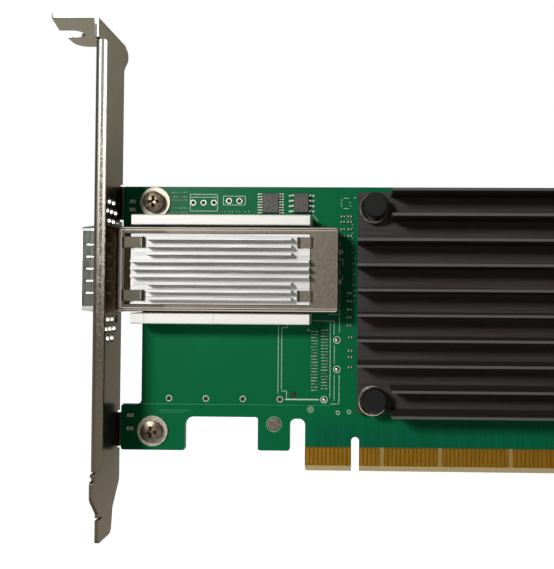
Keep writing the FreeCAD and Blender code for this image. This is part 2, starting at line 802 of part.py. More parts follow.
def make_socket():
    """Connector housing: a body with a stepped nose, and a slot right through for the module's card edge."""
    profile = [(socket_front_x, front, 0), (socket_back_x, front, 0),
               (socket_back_x, front - socket_height, 0),
               (socket_front_x + socket_nose_length, front - socket_height, 0),
               (socket_front_x + socket_nose_length, front - socket_nose_height, 0),
               (socket_front_x, front - socket_nose_height, 0)]
    half = socket_width / 2
    body = slab_z(profile, port_z - half, port_z + half)
    inner = half - socket_side_wall
    slot = block(socket_front_x, socket_back_x, port_z - inner, port_z + inner,
                 socket_slot_middle - socket_slot_height / 2, socket_slot_middle + socket_slot_height / 2)
    return body.cut(slot)


def make_socket_contacts():
    """Two rows of sprung contacts; the upper row's tails leave at the back, the lower row's at the front."""
    t = socket_contact_sheet
    g = socket_contact_gap
    roof = front - (socket_slot_middle + socket_slot_height / 2 - g)
    floor = front - (socket_slot_middle - socket_slot_height / 2 + g)
    inner_front = socket_front_x + socket_contact_setback
    back_x = socket_back_x + g
    upper = [(inner_front, roof, 0), (back_x + t, roof, 0), (back_x + t, front - t, 0),
             (back_x + t + socket_tail_length, front - t, 0), (back_x + t + socket_tail_length, front, 0),
             (back_x, front, 0), (back_x, roof + t, 0), (inner_front, roof + t, 0)]
    front_x = socket_front_x - g
    inner_back = socket_back_x - socket_contact_setback
    lower = [(inner_back, floor, 0), (front_x, floor, 0), (front_x, front, 0),
             (front_x - t - socket_tail_length, front, 0), (front_x - t - socket_tail_length, front - t, 0),
             (front_x - t, front - t, 0), (front_x - t, floor - t, 0), (inner_back, floor - t, 0)]
    solids = []
    for i in range(socket_contacts_in_row):
        z = port_z + (i - (socket_contacts_in_row - 1) / 2) * socket_contact_pitch - socket_contact_width / 2
        solids += [slab_z(shape, z, z + socket_contact_width) for shape in (upper, lower)]
    return Part.makeCompound(solids)


def centred_block(size, low, high):
    """Square block centred under the main heat sink."""
    return block(sink_middle_x - size / 2, sink_middle_x + size / 2, sink_middle_z - size / 2,
                 sink_middle_z + size / 2, low, high)


def sink_section():
    """Corners (y, z, radius) of the extrusion: a flat base and tapered fins with rounded roots."""
    base = front - package_top
    top = front - sink_base_top
    tip = top - sink_fin_height
    corners = [(base, sink_bottom_z + sink_width, 0), (base, sink_bottom_z, 0)]
    for i in range(sink_fin_count):
        z = sink_bottom_z + sink_fin_root / 2 + i * sink_fin_pitch
        lower_root = 0 if i == 0 else sink_root_radius
        upper_root = 0 if i == sink_fin_count - 1 else sink_root_radius
        corners += [(top, z - sink_fin_root / 2, lower_root), (tip, z - sink_fin_tip / 2, 0),
                    (tip, z + sink_fin_tip / 2, 0), (top, z + sink_fin_root / 2, upper_root)]
    return corners


def make_main_sink():
    """Extruded heat sink with its corner fins cut away and holes for the four push pins."""
    sink = slab_x(sink_section(), sink_left_x, sink_left_x + sink_length)
    pocket_width = (sink_pocket_fins - 1) * sink_fin_pitch + sink_fin_root + sink_pocket_side_gap
    cuts = []
    for x0 in (sink_left_x, sink_left_x + sink_length - sink_pocket_length):
        for z0 in (sink_bottom_z, sink_bottom_z + sink_width - pocket_width):
            cuts.append(block(x0, x0 + sink_pocket_length, z0, z0 + pocket_width,
                              sink_base_top, sink_base_top + sink_fin_height))
    for x, z in pin_places():
        start = vec(x, front - package_top, z)
        cuts.append(Part.makeCylinder(pin_hole_radius, sink_base, start, vec(0, -1, 0)))
    return sink.cut(cuts)


def make_push_pin(x, z):
    """Plastic push pin: round head, collar inside the spring, stem and a split barb behind the board."""
    head_low = sink_base_top + spring_length
    head_high = head_low + pin_head_height
    collar_low = head_low - pin_collar_length
    stem_end = -(board_thickness + pin_barb_gap)
    tip = stem_end - pin_barb_length
    profile = [(0, head_high), (pin_head_radius - pin_head_round, head_high),
               (pin_head_radius, head_high - pin_head_round), (pin_head_radius, head_low),
               (pin_collar_radius, head_low), (pin_collar_radius, collar_low),
               (pin_stem_radius, collar_low - pin_shoulder_length), (pin_stem_radius, stem_end),
               (pin_barb_radius, stem_end), (pin_barb_tip_radius, tip), (0, tip)]
    pin = revolved(profile, x, z)
    return pin.cut(box(x - pin_barb_radius, x + pin_barb_radius, back - pin_split_depth,
                       back - tip, z - pin_split / 2, z + pin_split / 2))


def make_spring(x, z):
    """Compression spring, wound from half rings that each climb half a turn, and loose round its pin.

    Each half ring's axis leans by lean, so its wire section turns a little further, and the ends match.
    """
    x += spring_shift[0]
    z += spring_shift[1]
    reach = spring_wire / 2
    low = front - sink_base_top - reach
    rise = (spring_length - spring_wire) / spring_half_turns
    lean = math.atan2(rise, 2 * spring_radius)
    rings = []
    for i in range(spring_half_turns):
        way = -1 if i % 2 == 0 else 1
        y = low - i * rise
        middle_x = x + way * spring_radius
        twist = 2 * i * way * lean
        turns = [twist + 2 * math.pi * k / spring_wire_sides for k in range(spring_wire_sides)]
        section = [(middle_x + reach * math.sin(t), y + reach * math.cos(t), 0) for t in turns]
        disc = Part.Face(rounded_wire(section, lambda p: vec(p.x, p.y, z)))
        axis = vec(-2 * way * spring_radius, -rise, 0).cross(vec(0, 0, way))
        rings.append(disc.revolve(vec(x, y - rise / 2, z), axis, 180))
    return fuse(rings)


def gull_lead(x, z, side, body_half, span, lead_width, leave):
    """Gull-wing lead from a package's side at height leave down to the board."""
    t = lead_sheet
    inner = x + side * body_half
    knee = inner + side * (span / 2 - body_half) * lead_knee_share
    toe = x + side * span / 2
    section = [(inner, front - leave, 0), (knee, front - leave, 0), (knee + side * t, front - t, 0),
               (toe, front - t, 0), (toe, front, 0), (knee, front, 0),
               (knee - side * t, front - leave + t, 0), (inner, front - leave + t, 0)]
    return slab_z(section, z - lead_width / 2, z + lead_width / 2)


def make_package_body(x, z, size):
    """Moulded package with drafted sides, standing clear of the board."""
    width, length, height = size
    low = package_standoff
    middle = (low + height) / 2

    def outline(h, shrink):
        corners = rectangle(x - width / 2 + shrink, x + width / 2 - shrink, z - length / 2 + shrink,
                            z + length / 2 - shrink)
        return rounded_wire(corners, lambda p: vec(p.x, front - h, p.y))
    lower = Part.makeLoft([outline(low, package_draft), outline(middle, 0)], True, True)
    upper = Part.makeLoft([outline(middle, 0), outline(height, package_draft)], True, True)
    return fuse([lower, upper])


def make_leads(x, z, size, span, pitch, per_side, lead_width):
    """Both rows of gull-wing leads of one package."""
    width = size[0]
    leave = (package_standoff + size[2]) / 2
    offsets = [(i - (per_side - 1) / 2) * pitch for i in range(per_side)]
    return Part.makeCompound([gull_lead(x, z + o, side, width / 2, span, lead_width, leave)
                              for side in (-1, 1) for o in offsets])


def make_chip_parts():
    """Chip capacitors and resistors beside the connector and the main heat sink."""
    places = [(cage_back_x + x, z) for x in chip_column_from_cage for z in chip_column_z]
    places += [(cage_back_x + chip_lower_from_cage, z) for z in chip_lower_z]
    places += [(cage_back_x + chip_side_from_cage, z) for z in chip_side_z]
    return Part.makeCompound([block(x - chip_length / 2, x + chip_length / 2, z - chip_width / 2,
                                    z + chip_width / 2, 0, chip_height) for x, z in places])


def make_lamps():
    """Indicator lamps at the board's bracket edge."""
    return Part.makeCompound([block(lamp_x - lamp_length / 2, lamp_x + lamp_length / 2, z - lamp_width / 2,
                                    z + lamp_width / 2, 0, lamp_height) for z in lamp_z])


def make_nodes():
    """Every sub-part by its node name."""
    screws = (upper_screw_z, lower_screw_z)
    return {
        "circuit_board": make_board(),
        "edge_contacts_front": make_contacts(front, -1, contact_columns(open_positions)),
        "edge_contacts_back": make_contacts(back, 1, contact_columns(())),
        "bracket": make_bracket(),
        "bracket_screws": Part.makeCompound([make_screw(z) for z in screws]),
        "bracket_washers": Part.makeCompound([make_washer(z) for z in screws]),
        "port_cage": make_cage(),
        "cage_gasket": make_gasket(),
        "heat_sink_clip": make_clip(),
        "port_heat_sink": make_port_sink(),
        "side_rail_upper": make_rail(1),
        "side_rail_lower": make_rail(-1),
        "port_connector": make_socket(),
        "port_connector_contacts": make_socket_contacts(),
        "controller_package": centred_block(package_size, 0, package_height),
        "controller_die": centred_block(die_size, package_height, package_height + die_height),
        "thermal_pad": centred_block(die_size, package_height + die_height, package_top),
        "main_heat_sink": make_main_sink(),
        "push_pins": Part.makeCompound([make_push_pin(x, z) for x, z in pin_places()]),
        "push_pin_springs": Part.makeCompound([make_spring(x, z) for x, z in pin_places()]),
        "logic_chip": make_package_body(logic_x, logic_z, logic_body),
        "logic_chip_leads": make_leads(logic_x, logic_z, logic_body, logic_span, logic_pitch,
                                       logic_leads_per_side, logic_lead_width),
        "flash_chip": make_package_body(flash_x, flash_z, flash_body),
        "flash_chip_leads": make_leads(flash_x, flash_z, flash_body, flash_span, flash_pitch,
                                       flash_leads_per_side, flash_lead_width),
        "chip_parts": make_chip_parts(),
        "indicator_lamps": make_lamps(),
    }


os.makedirs("parts", exist_ok=True)
for name, shape in make_nodes().items():
    shape.exportStep("parts/" + name + ".step")
    print(name, "solids", len(shape.Solids), "valid", shape.isValid(), "volume", round(shape.Volume, 3))
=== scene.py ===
"""Looks of the network interface card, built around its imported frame.

Sizes and places are in millimetres until a mesh is made, in the frame's own axes:
+X along the card away from the bracket, +Z up the card, and -Y out of the component side.
"""
import math

import bpy
import numpy as np
from mathutils import Matrix, Vector


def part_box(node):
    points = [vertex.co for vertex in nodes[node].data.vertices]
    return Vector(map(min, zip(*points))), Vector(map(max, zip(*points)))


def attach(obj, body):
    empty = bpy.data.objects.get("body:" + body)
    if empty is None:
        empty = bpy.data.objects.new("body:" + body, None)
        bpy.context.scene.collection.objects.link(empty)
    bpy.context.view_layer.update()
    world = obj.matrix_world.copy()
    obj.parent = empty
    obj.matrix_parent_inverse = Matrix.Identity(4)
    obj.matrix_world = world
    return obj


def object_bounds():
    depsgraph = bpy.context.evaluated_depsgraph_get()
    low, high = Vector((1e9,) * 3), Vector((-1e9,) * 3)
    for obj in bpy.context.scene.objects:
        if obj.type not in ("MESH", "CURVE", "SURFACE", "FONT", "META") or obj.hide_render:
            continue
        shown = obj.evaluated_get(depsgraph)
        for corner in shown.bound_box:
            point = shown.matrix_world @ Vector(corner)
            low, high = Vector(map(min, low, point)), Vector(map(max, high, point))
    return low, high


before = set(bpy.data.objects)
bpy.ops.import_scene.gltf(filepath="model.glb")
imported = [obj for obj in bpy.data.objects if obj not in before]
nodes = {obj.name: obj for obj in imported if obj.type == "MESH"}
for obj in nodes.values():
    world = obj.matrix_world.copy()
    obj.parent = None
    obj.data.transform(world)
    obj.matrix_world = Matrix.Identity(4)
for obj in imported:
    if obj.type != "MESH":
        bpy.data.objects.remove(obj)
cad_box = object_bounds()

MM = 0.001
scene = bpy.context.scene


# ---------------------------------------------------------------- places taken from the frame
def corners(name):
    """Lowest and highest corner of a node, in millimetres."""
    low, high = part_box(name)
    return np.array(low) / MM, np.array(high) / MM


def points_of(name):
    """Every corner of a node's mesh, in millimetres."""
    mesh = nodes[name].data
    places = np.empty(3 * len(mesh.vertices))
    mesh.vertices.foreach_get("co", places)
    return places.reshape(-1, 3) / MM


def boxes_of(name):
    """Lowest and highest corners of each box, in a node made only of boxes with corners for every face."""
    places = points_of(name).reshape(-1, 4 * 6, 3)
    return places.min(axis=1), places.max(axis=1)


def bracket_lip():
    """Lowest and highest corner of the lip folded along the bracket, from its corners beside the board."""
    places = points_of("bracket")
    nearest = places[:, 1] < places[:, 1].min() + 0.1
    beside_board = (places[:, 2] > 0) & (places[:, 2] < 60)
    lip = places[nearest & beside_board]
    return lip.min(axis=0), lip.max(axis=0)


def contact_gaps(least):
    """Start and end along the card of each gap wider than least between contacts on the component side."""
    low, high = boxes_of("edge_contacts_front")
    starts = np.sort(high[:, 0])[:-1].tolist()
    ends = np.sort(low[:, 0])[1:].tolist()
    return [(start, end) for start, end in zip(starts, ends) if end - start > least]


board_low, board_high = corners("circuit_board")
front, back = board_low[1], board_high[1]
board_depth = back - front
cage_low, cage_high = corners("port_cage")
cage_top = cage_low[1]
cage_half = (cage_high[2] - cage_low[2]) / 2
port_z = (cage_low[2] + cage_high[2]) / 2
clip_low, clip_high = corners("heat_sink_clip")
clip_front = clip_low[0]
clip_half = clip_high[2] - port_z
fin_tips = corners("main_heat_sink")[0][1]
contact_low, contact_high = corners("edge_contacts_front")
lip_low, lip_high = bracket_lip()
lip_left, lip_near = lip_low[0], lip_low[1]
lip_width = lip_high[0] - lip_left
finger_pitch = 2.82


# ---------------------------------------------------------------- camera and lamps
def place_camera():
    """Camera nearly square to the component side, level with the card's middle.

    It is set over a card lying flat, x along it and y up it, so that the card's point `aim` lies at `seen`
    in the camera's own axes. Both are then stood up together in the frame.
    """
    data = bpy.data.cameras.new("camera")
    data.sensor_width = 36.0
    data.lens = 47.206
    data.shift_x = -0.115
    data.clip_start = 0.001
    tilt = Matrix.Rotation(math.radians(-1.136), 3, "X")
    swing = Matrix.Rotation(math.radians(-1.423), 3, "Y")
    roll = Matrix.Rotation(math.radians(-0.357), 3, "Z")
    from_camera = (roll @ swing @ tilt).transposed()
    aim = Vector((30.0, 35.0, 0.0))
    seen = Vector((33.23, -10.39, -180.41))
    standing = Matrix(((1, 0, 0), (0, 0, -1), (0, 1, 0)))
    eye = standing @ (aim - from_camera @ seen) + Vector((0, front, 0))
    camera = bpy.data.objects.new("camera", data)
    camera.matrix_world = Matrix.Translation(eye * MM) @ (standing @ from_camera).to_4x4()
    scene.collection.objects.link(camera)
    scene.camera = camera


def place_lamp(name, place, width, height, watts):
    """Soft rectangular lamp at a place in metres, turned to the middle of the card."""
    middle = Vector((0.0, 0.0, 0.04))
    data = bpy.data.lights.new(name, "AREA")
    data.shape = "RECTANGLE"
    data.size = width
    data.size_y = height
    data.energy = watts
    lamp = bpy.data.objects.new(name, data)
    lamp.location = place
    lamp.rotation_euler = (middle - Vector(place)).to_track_quat("-Z", "Y").to_euler()
    scene.collection.objects.link(lamp)


# ---------------------------------------------------------------- shader nodes
def add(tree, kind, inputs=None, **settings):
    """Adds a shader node, sets its settings, and fills its sockets from values or from other sockets."""
    made = tree.nodes.new("ShaderNode" + kind)
    for key, value in settings.items():
        setattr(made, key, value)
    for key, value in (inputs or {}).items():
        if isinstance(value, bpy.types.NodeSocket):
            tree.links.new(value, made.inputs[key])
        else:
            made.inputs[key].default_value = value
    return made


def rgba(colour):
    """Colour with full alpha."""
    return (*colour, 1.0)


def place_of(tree):
    """Object coordinates, which are the frame's own metres on every piece."""
    return add(tree, "TexCoord").outputs["Object"]


def noise(tree, scale, stretch=(1, 1, 1), detail=4.0, roughness=0.55):
    """Noise from 0 to 1 whose grains are one millimetre over scale, longer where stretch is small."""
    spread = add(tree, "Mapping", {"Vector": place_of(tree), "Scale": tuple(s / MM for s in stretch)})
    grain = add(tree, "TexNoise", {"Vector": spread.outputs[0], "Scale": scale, "Detail": detail,
                                   "Roughness": roughness})
    return grain.outputs["Fac"]


def axis_of(tree, axis):
    """One object coordinate in millimetres."""
    split = add(tree, "SeparateXYZ", {"Vector": place_of(tree)})
    return maths(tree, "MULTIPLY", split.outputs[axis], 1 / MM)


def maths(tree, operation, first, second=0.0):
    """One sum on sockets or numbers."""
    return add(tree, "Math", {0: first, 1: second}, operation=operation).outputs[0]


def scaled(tree, value, factor, offset):
    """The value times a factor, plus an offset."""
    return add(tree, "Math", {0: value, 1: factor, 2: offset}, operation="MULTIPLY_ADD").outputs[0]


def between(tree, value, low, high):
    """Ramp from 0 at low to 1 at high."""
    ramp = add(tree, "MapRange", {"Value": value, "From Min": low, "From Max": high},
               interpolation_type="SMOOTHSTEP")
    return ramp.outputs[0]


def band(tree, value, middle, half_width, soft):
    """1 within half_width of the middle, falling to 0 over a soft edge."""
    away = maths(tree, "ABSOLUTE", maths(tree, "SUBTRACT", value, middle))
    return between(tree, away, half_width + soft, half_width)


def facing(tree, axis):
    """How squarely a face looks along an axis, either way: 1 is square."""
    normal = add(tree, "SeparateXYZ", {"Vector": add(tree, "NewGeometry").outputs["Normal"]})
    return maths(tree, "ABSOLUTE", normal.outputs[axis])


def blend(tree, factor, first, second):
    """Colour between two colours."""
    made = add(tree, "Mix", {"Factor": factor}, data_type="RGBA")
    for socket, value in ((made.inputs[6], first), (made.inputs[7], second)):
        if isinstance(value, bpy.types.NodeSocket):
            tree.links.new(value, socket)
        else:
            socket.default_value = rgba(value)
    return made.outputs[2]


def relief(tree, height, depth, strength=1.0):
    """Bump of a depth in millimetres."""
    made = add(tree, "Bump", {"Height": height, "Distance": depth * MM, "Strength": strength})
    return made.outputs[0]


def start(name):
    """Empty material with its Principled shader, named after the finish."""
    material = bpy.data.materials.new(name)
    material.use_nodes = True
    tree = material.node_tree
    return material, tree, tree.nodes["Principled BSDF"]


def fill(tree, shader, **sockets):
    """Sets or links the shader's sockets; an underscore stands for a space."""
    for key, value in sockets.items():
        socket = shader.inputs[key.replace("_", " ")]
        if isinstance(value, bpy.types.NodeSocket):
            tree.links.new(value, socket)
        elif isinstance(value, tuple):
            socket.default_value = rgba(value)
        else:
            socket.default_value = value


# ---------------------------------------------------------------- finishes
def metal(name, light, dark, roughness, grain=(1, 1, 1), scale=2.0, depth=0.004, uneven=0.10, bare=1.0):
    """Metal whose colour, gloss and relief follow one stretched grain; bare is below 1 under a film."""
    material, tree, shader = start(name)
    streaks = noise(tree, scale, grain)
    patches = noise(tree, 0.12, detail=2.0)
    colour = blend(tree, between(tree, streaks, 0.3, 0.7), dark, light)
    colour = blend(tree, maths(tree, "MULTIPLY", patches, 0.5), colour, dark)
    gloss = scaled(tree, streaks, uneven, roughness - uneven / 2)
    fill(tree, shader, Base_Color=colour, Metallic=bare, Roughness=gloss,
         Normal=relief(tree, streaks, depth))
    return material


def solder_mask():
    """Board: green mask with buried copper, bare laminate at the mating edge, fibre on the cut sides. The
    laminate is painted dark in the narrow gaps between contacts as painted shade.
    """
    material, tree, shader = start("solder_mask")
    x = axis_of(tree, 0)
    z = axis_of(tree, 2)
    green = blend(tree, noise(tree, 0.10, detail=3.0), (0.0010, 0.108, 0.037), (0.0010, 0.136, 0.048))
    stripes = add(tree, "Mapping", {"Vector": place_of(tree), "Scale": (0.9 / MM, 1.0, 0.012 / MM)})
    copper = add(tree, "TexNoise", {"Vector": stripes.outputs[0], "Scale": 1.0, "Detail": 1.0})
    tracks = copper.outputs["Fac"]
    near_edge = maths(tree, "MULTIPLY", between(tree, z, 15.0, 9.0), between(tree, x, -14.0, -8.0))
    track_light = maths(tree, "MULTIPLY", between(tree, tracks, 0.45, 0.60), near_edge)
    green = blend(tree, maths(tree, "MULTIPLY", track_light, 0.50), green, (0.002, 0.160, 0.078))
    green = blend(tree, maths(tree, "MULTIPLY", near_edge, 0.45), green, (0.001, 0.065, 0.034))
    # painted shade: the laminate's base tan is dark so the narrow gaps between contacts look shadowed; the
    # wide gaps and the bottom edge get its own paler tan
    tan = blend(tree, noise(tree, 1.5, (1, 1, 0.25)), (0.125, 0.070, 0.004), (0.155, 0.088, 0.006))
    for left, right in contact_gaps(least=0.5):
        wide = band(tree, x, (left + right) / 2, (right - left) / 2 - 0.20, 0.05)
        tan = blend(tree, wide, tan, (0.33, 0.22, 0.075))
    tan = blend(tree, between(tree, z, contact_low[2] + 0.1, contact_low[2]), tan, (0.50, 0.40, 0.21))
    on_tongue = between(tree, x, contact_low[0] - 0.60, contact_low[0] - 0.50)
    below_mask = between(tree, z, contact_high[2] + 0.25, contact_high[2] + 0.15)
    bare = maths(tree, "MULTIPLY", below_mask, on_tongue)
    colour = blend(tree, bare, green, tan)
    fibre = blend(tree, noise(tree, 3.0, (1, 4, 1)), (0.030, 0.13, 0.05), (0.10, 0.20, 0.09))
    colour = blend(tree, between(tree, facing(tree, 1), 0.35, 0.15), colour, fibre)
    weave = noise(tree, 1.2, detail=2.0)
    fill(tree, shader, Base_Color=colour, Roughness=scaled(tree, bare, 0.15, 0.34), Specular_IOR_Level=0.05,
         Normal=relief(tree, weave, 0.010, 0.5))
    return material


def contact_gold():
    """Hard gold over copper: warm, drawn along each contact, with a few brown rubbed marks."""
    material, tree, shader = start("contact_gold")
    drawn = noise(tree, 0.9, (0.8, 1, 0.20))
    marks = noise(tree, 0.5, detail=5.0)
    colour = blend(tree, between(tree, drawn, 0.25, 0.75), (0.175, 0.082, 0.008), (0.235, 0.120, 0.013))
    colour = blend(tree, between(tree, marks, 0.60, 0.80), colour, (0.30, 0.17, 0.025))
    fill(tree, shader, Base_Color=colour, Metallic=1.0, Roughness=0.42, Normal=relief(tree, drawn, 0.003))
    return material


def plate_colour(tree, z):
    """Dark drawn steel of the bracket's plate, browner at its foot, greener at its top, and patchy."""
    drawn = noise(tree, 1.6, (1, 1, 0.08))
    patches = noise(tree, 0.06, detail=2.0)
    colour = blend(tree, between(tree, z, 18.0, -20.0), (0.122, 0.102, 0.077), (0.240, 0.195, 0.146))
    colour = blend(tree, between(tree, z, 45.0, 85.0), colour, (0.096, 0.085, 0.061))
    streaks = maths(tree, "MULTIPLY", between(tree, drawn, 0.35, 0.70), 0.25)
    colour = blend(tree, streaks, colour, (0.152, 0.138, 0.108))
    return blend(tree, maths(tree, "MULTIPLY", patches, 0.25), colour, (0.080, 0.066, 0.052))


def lip_highlight_bands(tree, x, z):
    """Two painted highlight bands along the lip, fading out towards its foot."""
    wide = band(tree, x, lip_left + 0.35 * lip_width, 0.10 * lip_width, 0.12 * lip_width)
    narrow = band(tree, x, lip_left + 0.85 * lip_width, 0.05 * lip_width, 0.08 * lip_width)
    return maths(tree, "MULTIPLY", maths(tree, "MAXIMUM", wide, narrow), between(tree, z, 28.0, 98.0))


def lip_colour(tree, z, highlight_bands, speckle):
    """Lip of the bracket: darkest at mid height, with pale worn specks between its painted highlight bands.
    """
    colour = blend(tree, between(tree, z, 0.0, 40.0), (0.080, 0.067, 0.045), (0.042, 0.036, 0.027))
    colour = blend(tree, between(tree, z, 60.0, 95.0), colour, (0.066, 0.063, 0.057))
    # painted highlight: pale colour along the two bands of the lip
    colour = blend(tree, highlight_bands, colour, (0.31, 0.295, 0.265))
    worn = maths(tree, "MULTIPLY", between(tree, z, 22.0, 62.0), between(tree, z, 94.0, 70.0))
    specks = maths(tree, "MULTIPLY", between(tree, speckle, 0.50, 0.62), scaled(tree, worn, 0.78, 0.12))
    return blend(tree, specks, colour, (0.178, 0.164, 0.138))


def bracket_steel():
    """Plated sheet steel: dark and smooth on the plate's faces, paler and speckled on the folded lip; this
    split by the way a face looks paints light and shade on one steel.

    The vents' walls are painted near white, a highlight, where they face out of the card, and dark, painted
    shade, elsewhere.
    The hanger at the top is even and pale, with a paler painted highlight on its faces square to the card
    and painted shade at its fold.
    """
    material, tree, shader = start("bracket_steel")
    x, y, z = (axis_of(tree, axis) for axis in range(3))
    speckle = noise(tree, 2.6, detail=3.0)
    highlight_bands = lip_highlight_bands(tree, x, z)
    lip = lip_colour(tree, z, highlight_bands, speckle)
    beside_port = band(tree, z, port_z, cage_half + 11.0, 0.5)
    punched = maths(tree, "MULTIPLY", beside_port, band(tree, y, (front + lip_near) / 2, 6.3, 0.1))
    # painted highlight and shade: vent walls square to the card's faces are near white, the others dark
    walls = blend(tree, between(tree, facing(tree, 1), 0.84, 0.99), (0.07, 0.065, 0.045), (0.90, 0.88, 0.82))
    lip = blend(tree, punched, lip, walls)
    hanger = between(tree, z, 103.0, 104.0)
    # painted highlight: the hanger's faces square to the card are painted paler than its other faces
    edge = between(tree, facing(tree, 1), 0.60, 0.80)
    lip = blend(tree, hanger, lip, blend(tree, edge, (0.335, 0.305, 0.240), (0.60, 0.60, 0.59)))
    # painted shade: dark colour in the corner at the top of the fold
    above_fold = between(tree, z, 109.6, 110.0)
    fold = maths(tree, "MULTIPLY", above_fold, between(tree, x, lip_left - 1.2, lip_left - 0.8))
    lip = blend(tree, fold, lip, (0.05, 0.045, 0.040))
    # painted light and shade: faces looking along the card take the plate's darker colours, the others the
    # lip's, though both are one steel
    off_plate = between(tree, facing(tree, 0), 0.60, 0.30)
    # the painted highlight bands are also made a little glossier
    shine = scaled(tree, maths(tree, "MULTIPLY", highlight_bands, off_plate), 0.10, 0.0)
    gloss = maths(tree, "SUBTRACT", scaled(tree, off_plate, 0.24, 0.24), shine)
    rough = maths(tree, "MULTIPLY", speckle, scaled(tree, hanger, -1.0, 1.0))
    fill(tree, shader, Base_Color=blend(tree, off_plate, plate_colour(tree, z), lip), Roughness=gloss,
         Metallic=scaled(tree, off_plate, 0.20, 0.80), Specular_Tint=(0.46, 0.45, 0.42),
         Specular_IOR_Level=0.10, Normal=relief(tree, rough, 0.012, 0.6))
    return material


def gasket_steel():
    """Sprung gasket: brown where it flares behind the bracket, grey-green in front with paler corners."""
    material, tree, shader = start("gasket_steel")
    x = axis_of(tree, 0)
    z = axis_of(tree, 2)
    grain = noise(tree, 1.5, (1, 1, 0.3))
    brown = blend(tree, between(tree, grain, 0.30, 0.72), (0.040, 0.026, 0.014), (0.085, 0.058, 0.032))
    grey = blend(tree, between(tree, grain, 0.30, 0.72), (0.060, 0.066, 0.054), (0.105, 0.110, 0.092))
    corner = maths(tree, "SUBTRACT", 1.0, band(tree, z, port_z, cage_half - 0.9, 0.25))
    grey = blend(tree, maths(tree, "MULTIPLY", corner, 0.85), grey, (0.55, 0.56, 0.50))
    colour = blend(tree, between(tree, x, lip_left, lip_left - 0.2), brown, grey)
    fill(tree, shader, Base_Color=colour, Metallic=1.0, Roughness=0.34, Normal=relief(tree, grain, 0.004))
    return material


def cage_tin():
    """Tinned cage: dull on its body, brown under the gasket's collar, bright between its front fingers."""
    material, tree, shader = start("cage_tin")
    grain = noise(tree, 2.0, (0.25, 1, 1))
    dull = blend(tree, between(tree, grain, 0.3, 0.7), (0.13, 0.105, 0.083), (0.23, 0.19, 0.16))
    x = axis_of(tree, 0)
    in_front = between(tree, x, lip_left, lip_left - 0.2)
    dull = blend(tree, between(tree, x, lip_left + 5.5, lip_left + 5.0), dull, (0.13, 0.095, 0.055))
    colour = blend(tree, in_front, dull, (0.80, 0.80, 0.76))
    fill(tree, shader, Base_Color=colour, Metallic=1.0, Roughness=0.48, Normal=relief(tree, grain, 0.004))
    return material


def clip_steel():
    """Clip of dull spring steel, with lines of painted highlight and painted shade along the folds of its
    two long sides.

    Its front tabs are darker, with painted light on a pale strip at the very front and a thin painted
    highlight along a fold across each.
    """
    material, tree, shader = start("clip_steel")
    grain = noise(tree, 3.0, (1, 1, 0.5))
    patches = noise(tree, 0.15, detail=2.0)
    x = axis_of(tree, 0)
    off_middle = maths(tree, "ABSOLUTE", maths(tree, "SUBTRACT", axis_of(tree, 2), port_z))
    inward = maths(tree, "SUBTRACT", clip_half, off_middle)
    colour = blend(tree, between(tree, grain, 0.3, 0.7), (0.084, 0.068, 0.053), (0.134, 0.113, 0.093))
    colour = blend(tree, maths(tree, "MULTIPLY", patches, 0.5), colour, (0.105, 0.093, 0.071))
    on_tabs = between(tree, x, clip_front + 12.0, clip_front + 10.0)
    colour = blend(tree, on_tabs, colour, (0.056, 0.050, 0.040))
    # painted light: the front strip is made pale where it lies in the bracket's shadow
    at_front = between(tree, x, clip_front + 1.0, clip_front + 0.5)
    colour = blend(tree, at_front, colour, (0.42, 0.375, 0.315))
    # painted highlight: a thin pale line along a fold across each tab
    across_tab = band(tree, inward, 3.8, 0.95, 0.1)
    fold = maths(tree, "MULTIPLY", band(tree, x, clip_front + 5.40, 0.06, 0.06), across_tab)
    colour = blend(tree, fold, colour, (0.24, 0.23, 0.20))
    # painted highlights (pale lines) and painted shade (dark line) along the folds of the two long sides
    for place, half, strength, shade in ((0.35, 0.10, 0.8, (0.62, 0.57, 0.50)),
                                         (0.62, 0.06, 0.9, (0.030, 0.024, 0.018)),
                                         (0.85, 0.06, 0.6, (0.45, 0.41, 0.35))):
        line = band(tree, inward, place, half, 0.06)
        colour = blend(tree, maths(tree, "MULTIPLY", line, strength), colour, shade)
    fill(tree, shader, Base_Color=colour, Metallic=1.0, Roughness=scaled(tree, grain, 0.10, 0.46),
         Normal=relief(tree, grain, 0.004))
    return material


def black_anodise():
    """Black anodised extrusion with faint lines along the fins, paler fin tips and a few pale rubs."""
    material, tree, shader = start("black_anodise")
    lines = noise(tree, 2.2, (0.02, 1, 1))
    rubs = noise(tree, 0.5, (0.15, 1, 1), detail=6.0)
    rubbed = maths(tree, "MULTIPLY", between(tree, rubs, 0.66, 0.80), 0.5)
    tips = between(tree, axis_of(tree, 1), fin_tips + 0.10, fin_tips + 0.02)
    colour = blend(tree, between(tree, lines, 0.35, 0.70), (0.037, 0.030, 0.028), (0.051, 0.044, 0.041))
    colour = blend(tree, rubbed, colour, (0.16, 0.14, 0.13))
    colour = blend(tree, tips, colour, (0.095, 0.089, 0.086))
    fill(tree, shader, Base_Color=colour, Roughness=0.50, Specular_IOR_Level=0.12,
         Normal=relief(tree, lines, 0.012))
    return material


def moulded(name, colour, pale, roughness, depth=0.008, scale=3.0, level=0.35):
    """Moulded plastic with a fine sparked surface."""
    material, tree, shader = start(name)
    grain = noise(tree, scale)
    fill(tree, shader, Base_Color=blend(tree, between(tree, grain, 0.4, 0.75), colour, pale),
         Roughness=roughness, Specular_IOR_Level=level, Normal=relief(tree, grain, depth))
    return material


